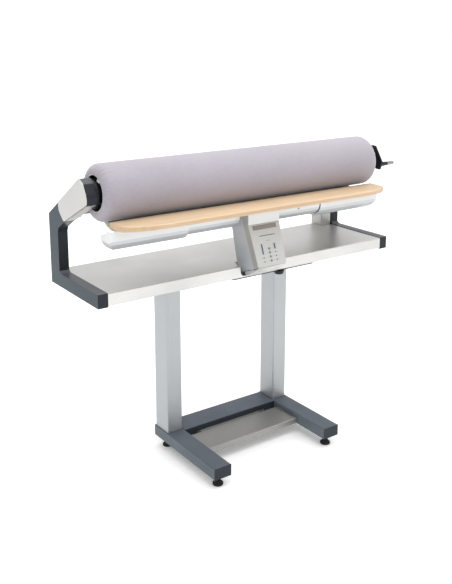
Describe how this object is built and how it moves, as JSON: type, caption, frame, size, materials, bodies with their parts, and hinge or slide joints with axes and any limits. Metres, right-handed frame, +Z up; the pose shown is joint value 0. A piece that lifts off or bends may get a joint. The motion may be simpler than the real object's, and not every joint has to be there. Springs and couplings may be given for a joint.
{
  "type": "rotary ironer",
  "caption": "Free-standing rotary ironer: a padded roller over a swinging heated shoe with a wooden feed board, shelf, column stand and foot pedal",
  "frame": {"origin": "centre of the bounding box in plan, on the floor under the feet", "axes": "+X to the right of a user at the feed board, along the roller; +Y away from the user; +Z up"},
  "size_m": [1.285, 0.457, 1.0765],
  "materials": {
    "dark_coat": "powder coat, satin",
    "dark_steel": "powder coat, satin",
    "black_plastic": "moulded, matt",
    "black_metal": "black coat",
    "stainless": "brushed",
    "anodised": "anodised, satin",
    "steel": "machined",
    "white_coat": "enamelled, satin",
    "grey_plastic": "moulded, satin",
    "beech": "lacquered beech",
    "cotton": "woven cotton",
    "felt": "felt wadding",
    "lens": "smoked window",
    "circuit": "solder mask"
  },
  "bodies": {
    "stand": {"base_leg_left": "dark_steel", "base_leg_right": "dark_steel", "base_crossbar": "dark_steel", "leg_end_cap_left": "black_plastic", "leg_end_cap_right": "black_plastic", "glide_foot_front_left": "black_plastic", "glide_foot_front_right": "black_plastic", "glide_foot_rear_left": "black_plastic", "glide_foot_rear_right": "black_plastic", "column_left": "anodised", "column_right": "anodised", "shelf_beam": "dark_steel", "shelf": "stainless", "mounting_plate": "black_metal", "side_frame_left": "dark_coat", "side_frame_right": "dark_coat", "head_plate": "stainless", "head_underside_strip": "stainless", "right_post_cover": "stainless", "axle_flange": "black_plastic", "axle_tube": "steel", "roller_motor": "steel", "roller_bearing": "steel", "mains_gland": "black_plastic", "pivot_bearing_left": "steel", "pivot_bearing_right": "steel", "lift_bracket": "steel", "pedal_bracket": "steel"},
    "roller": {"roller_tube": "steel", "roller_hub_left": "black_plastic", "roller_hub_right": "black_plastic", "drive_flange": "steel", "roller_padding": "felt", "roller_cover": "cotton", "crank": "black_metal"},
    "grip": {"crank_grip": "steel"},
    "shoe": {"shoe_trough": "anodised", "trough_insulation": "felt", "heating_element": "steel", "swing_carrier": "steel", "pivot_shaft": "steel", "cover_left": "white_coat", "cover_right": "white_coat", "centre_bar_left": "white_coat", "centre_bar_right": "white_coat", "feed_board": "beech", "control_casing": "grey_plastic", "front_band": "white_coat", "control_plate": "stainless", "display_window": "lens", "circuit_board": "circuit", "lift_motor": "steel"},
    "cam": {"lift_cam": "steel"},
    "follower": {"cam_follower": "steel"},
    "pedal": {"pedal_plate": "stainless"},
    "key_1": {"key_1": "grey_plastic"},
    "key_2": {"key_2": "grey_plastic"},
    "key_3": {"key_3": "grey_plastic"},
    "key_4": {"key_4": "grey_plastic"},
    "knob": {"switch_knob": "black_plastic"}
  },
  "joints": [
    {"name": "roller_spin", "type": "hinge", "parent": "stand", "child": "roller", "pos_m": [-0.0355, -0.008, 0.9865], "axis": [1, 0, 0], "continuous": true},
    {"name": "grip_spin", "type": "hinge", "parent": "roller", "child": "grip", "pos_m": [0.6245, -0.056, 0.97], "axis": [1, 0, 0], "continuous": true},
    {"name": "shoe_swing", "type": "hinge", "parent": "stand", "child": "shoe", "pos_m": [-0.0355, 0.1, 0.912], "axis": [1, 0, 0], "range_deg": [-4, 0]},
    {"name": "cam_turn", "type": "hinge", "parent": "shoe", "child": "cam", "pos_m": [-0.0485, -0.11645, 0.74145], "axis": [1, 0, 0], "range_deg": [0, 180]},
    {"name": "follower_spin", "type": "hinge", "parent": "stand", "child": "follower", "pos_m": [-0.0485, -0.097, 0.722], "axis": [1, 0, 0], "continuous": true},
    {"name": "pedal_press", "type": "hinge", "parent": "stand", "child": "pedal", "pos_m": [-0.0355, 0.028, 0.05], "axis": [1, 0, 0], "range_deg": [0, 5], "stiffness_Nm_per_rad": 8, "springref_deg": -8.59},
    {"name": "knob_turn", "type": "hinge", "parent": "stand", "child": "knob", "pos_m": [0.056, -0.098, 0.65], "axis": [0, 0, 1], "range_deg": [0, 90]},
    {"name": "key_1_press", "type": "slide", "parent": "shoe", "child": "key_1", "axis": [0, 0.9389, -0.3443], "range_m": [0, 0.0008], "stiffness_N_per_m": 300, "springref_m": -0.0005},
    {"name": "key_2_press", "type": "slide", "parent": "shoe", "child": "key_2", "axis": [0, 0.9389, -0.3443], "range_m": [0, 0.0008], "stiffness_N_per_m": 300, "springref_m": -0.0005},
    {"name": "key_3_press", "type": "slide", "parent": "shoe", "child": "key_3", "axis": [0, 0.9389, -0.3443], "range_m": [0, 0.0008], "stiffness_N_per_m": 300, "springref_m": -0.0005},
    {"name": "key_4_press", "type": "slide", "parent": "shoe", "child": "key_4", "axis": [0, 0.9389, -0.3443], "range_m": [0, 0.0008], "stiffness_N_per_m": 300, "springref_m": -0.0005}
  ],
  "couplings": [
    {"joint": "cam_turn", "follows": "shoe_swing", "ratio": -45}
  ]
}
